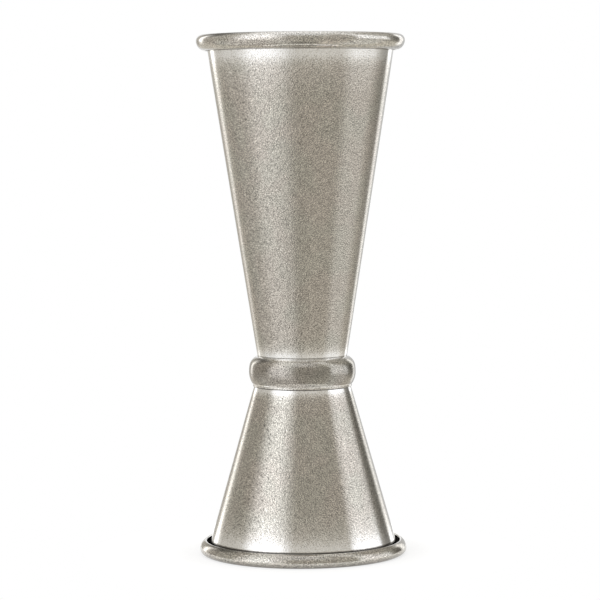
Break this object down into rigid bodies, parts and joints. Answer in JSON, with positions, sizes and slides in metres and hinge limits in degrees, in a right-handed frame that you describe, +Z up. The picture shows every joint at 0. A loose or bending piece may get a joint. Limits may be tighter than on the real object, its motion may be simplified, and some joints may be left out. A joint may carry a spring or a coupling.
{
  "type": "cocktail jigger",
  "caption": "Double-ended cocktail jigger: a tall conical steel cup over a shorter, wider-angled one, with rolled rims and a rounded band round the neck.",
  "frame": {"origin": "middle of the plane that the small cup's rim stands on", "axes": "+Z up along the axis of both cups, from the small cup at the bottom to the large cup at the top; +X and +Y are alike"},
  "size_m": [0.048, 0.048, 0.12],
  "materials": {
    "tumbled_steel": "warm grey stainless steel, tumbled to a fine sparkling grain",
    "silver_braze": "dull silver solder"
  },
  "bodies": {
    "root": {"large_cup": "tumbled_steel", "small_cup": "tumbled_steel", "neck_band": "tumbled_steel", "braze_disc": "silver_braze"}
  },
  "joints": []
}
